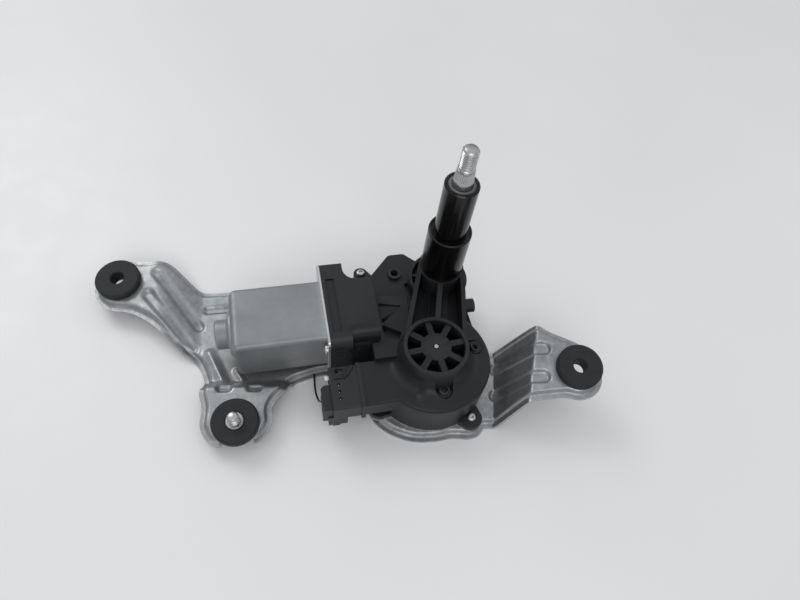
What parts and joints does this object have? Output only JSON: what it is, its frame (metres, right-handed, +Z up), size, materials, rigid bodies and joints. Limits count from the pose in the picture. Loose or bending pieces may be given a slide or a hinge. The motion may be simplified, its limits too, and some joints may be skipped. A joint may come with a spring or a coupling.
{
  "type": "rear wiper motor",
  "caption": "Rear wiper motor: geared motor on a pressed steel three-arm bracket with rubber grommets and a tall output spindle in a tube",
  "frame": {"origin": "arm seat: the base of the spindle's thread, on the spindle axis", "axes": "+Z up along the spindle, +X along the motor from its nose toward the gears, +Y away from the connector side"},
  "size_m": [0.273, 0.1352, 0.134],
  "materials": {
    "galvanised_steel": "zinc coated, bright spangle, pressed",
    "can_steel": "satin grey plated, deep drawn",
    "housing_plastic": "satin moulded, fine grain",
    "connector_plastic": "satin moulded",
    "tube_black": "gloss black coating",
    "grommet_rubber": "matte moulded rubber",
    "seal_rubber": "grey moulded rubber",
    "bright_steel": "ground and plated",
    "screw_steel": "zinc plated",
    "shaft_steel": "ground",
    "sintered_bronze": "sintered, oil filled",
    "gear_nylon": "moulded, greased",
    "magnet_ferrite": "sintered ferrite",
    "core_steel": "stacked laminations",
    "copper": "enamelled copper wire",
    "commutator_copper": "turned copper",
    "brush_carbon": "pressed carbon",
    "brush_plastic": "moulded phenolic",
    "spring_steel": "spring steel",
    "tin_plate": "tin plated"
  },
  "bodies": {
    "base": {"spindle_tube": "tube_black", "tube_collar": "tube_black", "upper_bush": "sintered_bronze", "lower_bush": "sintered_bronze", "spindle_seal": "seal_rubber", "wheel_axle": "shaft_steel", "wheel_clip": "spring_steel", "gear_housing": "housing_plastic", "gear_cover": "galvanised_steel", "housing_screws": "screw_steel", "mounting_bracket": "galvanised_steel", "left_grommet": "grommet_rubber", "right_grommet": "grommet_rubber", "ear_grommet": "grommet_rubber", "ear_sleeve": "bright_steel", "ear_stud": "bright_steel", "motor_can": "can_steel", "can_screws": "screw_steel", "far_magnet": "magnet_ferrite", "near_magnet": "magnet_ferrite", "rear_bearing": "sintered_bronze", "front_bearing": "sintered_bronze", "end_bearing": "sintered_bronze", "thrust_pad": "gear_nylon", "brush_plate": "brush_plastic", "brushes": "brush_carbon", "brush_springs": "spring_steel", "connector_shell": "connector_plastic", "connector_blades": "tin_plate"},
    "armature": {"armature_shaft": "shaft_steel", "armature_core": "core_steel", "armature_windings": "copper", "commutator": "commutator_copper"},
    "wheel": {"worm_wheel": "gear_nylon"},
    "link": {"coupling_link": "shaft_steel", "sector_pin": "shaft_steel"},
    "sector": {"sector_gear": "shaft_steel", "crank_pin": "shaft_steel"},
    "output": {"spindle": "bright_steel", "output_pinion": "shaft_steel", "spindle_clip": "spring_steel", "thrust_washer": "shaft_steel"}
  },
  "joints": [
    {"name": "armature_spin", "type": "hinge", "parent": "base", "child": "armature", "pos_m": [-0.06, -0.014, -0.098], "axis": [1, 0, 0], "continuous": true},
    {"name": "wheel_spin", "type": "hinge", "parent": "base", "child": "wheel", "pos_m": [-0.0128, -0.0468, -0.1015], "axis": [0, 0, 1], "continuous": true},
    {"name": "spindle_turn", "type": "hinge", "parent": "base", "child": "output", "pos_m": [0, 0, -0.1132], "axis": [0, 0, 1], "range_deg": [-72, 72]},
    {"name": "link_swing", "type": "hinge", "parent": "base", "child": "link", "pos_m": [0, 0, -0.1157], "axis": [0, 0, 1], "range_deg": [-16.83, 16.83]},
    {"name": "sector_swing", "type": "hinge", "parent": "link", "child": "sector", "pos_m": [-0.01679, -0.01715, -0.1132], "axis": [0, 0, 1], "range_deg": [-27.73, 27.73]}
  ],
  "couplings": [
    {"joint": "wheel_spin", "follows": "armature_spin", "ratio": 0.016393},
    {"joint": "link_swing", "follows": "spindle_turn", "ratio": 0.2324},
    {"joint": "sector_swing", "follows": "spindle_turn", "ratio": -0.3838}
  ]
}
